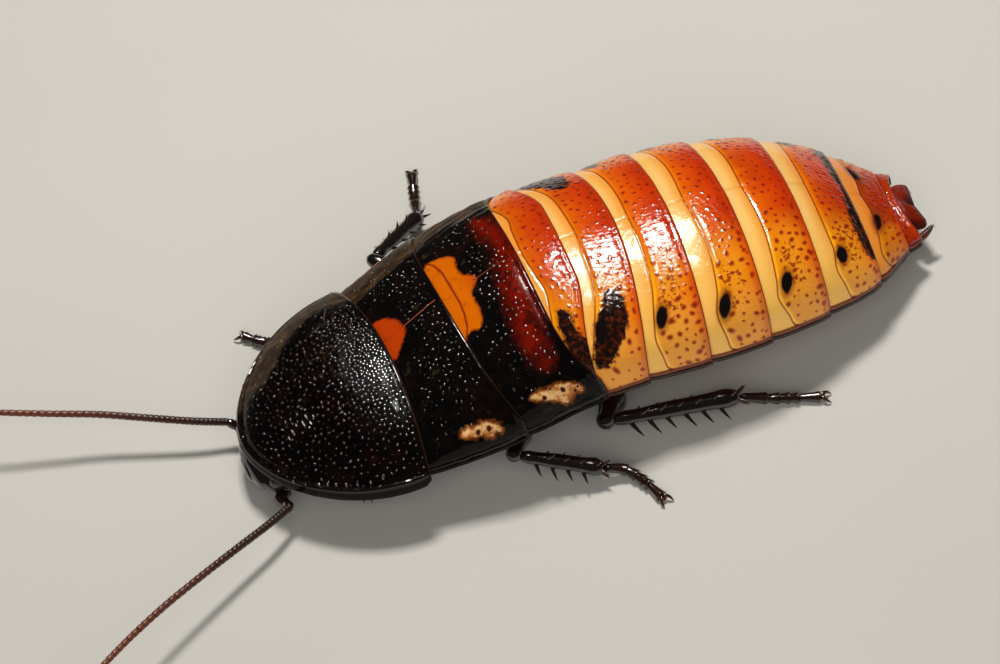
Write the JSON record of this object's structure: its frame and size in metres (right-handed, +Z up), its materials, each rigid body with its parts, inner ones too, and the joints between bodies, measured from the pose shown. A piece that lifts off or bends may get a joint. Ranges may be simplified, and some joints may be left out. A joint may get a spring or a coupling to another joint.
{
  "type": "madagascar hissing cockroach",
  "caption": "Still life-size adult female hissing cockroach with domed shield, banded abdomen, long feelers and spined legs, resting on belly and feet.",
  "frame": {"origin": "on the floor, under the middle of the belly's flat at the fourth abdominal segment", "axes": "+X towards the head, +Y to the animal's left, +Z up"},
  "size_m": [0.0931, 0.0564, 0.0137],
  "materials": {
    "shell_black": "glossy black horn, finely granular, with red-brown and orange marks",
    "shell_amber": "glossy amber to deep red horn with cream bands and small dark dots",
    "tail_red": "glossy dark red horn",
    "leg_black": "glossy black to red-brown horn",
    "antenna_brown": "satin red-brown beads",
    "eye_black": "glossy dark facets"
  },
  "bodies": {
    "root": {"abdomen_1": "shell_amber", "abdomen_2": "shell_amber", "abdomen_3": "shell_amber", "abdomen_4": "shell_amber", "abdomen_5": "shell_amber", "abdomen_6": "shell_amber", "abdomen_7": "shell_amber", "abdomen_8": "tail_red", "antenna_left_inner": "antenna_brown", "antenna_left_outer": "antenna_brown", "antenna_left_scape": "leg_black", "antenna_right_inner": "antenna_brown", "antenna_right_outer": "antenna_brown", "antenna_right_scape": "leg_black", "cercus_left": "tail_red", "cercus_right": "tail_red", "eye_left": "eye_black", "eye_right": "eye_black", "head": "shell_black", "leg_left_front_coxa": "leg_black", "leg_left_front_femur": "leg_black", "leg_left_front_foot": "leg_black", "leg_left_front_tibia": "leg_black", "leg_left_hind_coxa": "leg_black", "leg_left_hind_femur": "leg_black", "leg_left_hind_foot": "leg_black", "leg_left_hind_tibia": "leg_black", "leg_left_middle_coxa": "leg_black", "leg_left_middle_femur": "leg_black", "leg_left_middle_foot": "leg_black", "leg_left_middle_tibia": "leg_black", "leg_right_front_coxa": "leg_black", "leg_right_front_femur": "leg_black", "leg_right_front_foot": "leg_black", "leg_right_front_tibia": "leg_black", "leg_right_hind_coxa": "leg_black", "leg_right_hind_femur": "leg_black", "leg_right_hind_foot": "leg_black", "leg_right_hind_tibia": "leg_black", "leg_right_middle_coxa": "leg_black", "leg_right_middle_femur": "leg_black", "leg_right_middle_foot": "leg_black", "leg_right_middle_tibia": "leg_black", "mesothorax": "shell_black", "metathorax": "shell_black", "palp_left": "leg_black", "palp_right": "leg_black", "pronotum": "shell_black", "prothorax": "shell_black", "supra_anal_plate": "tail_red"}
  },
  "joints": []
}
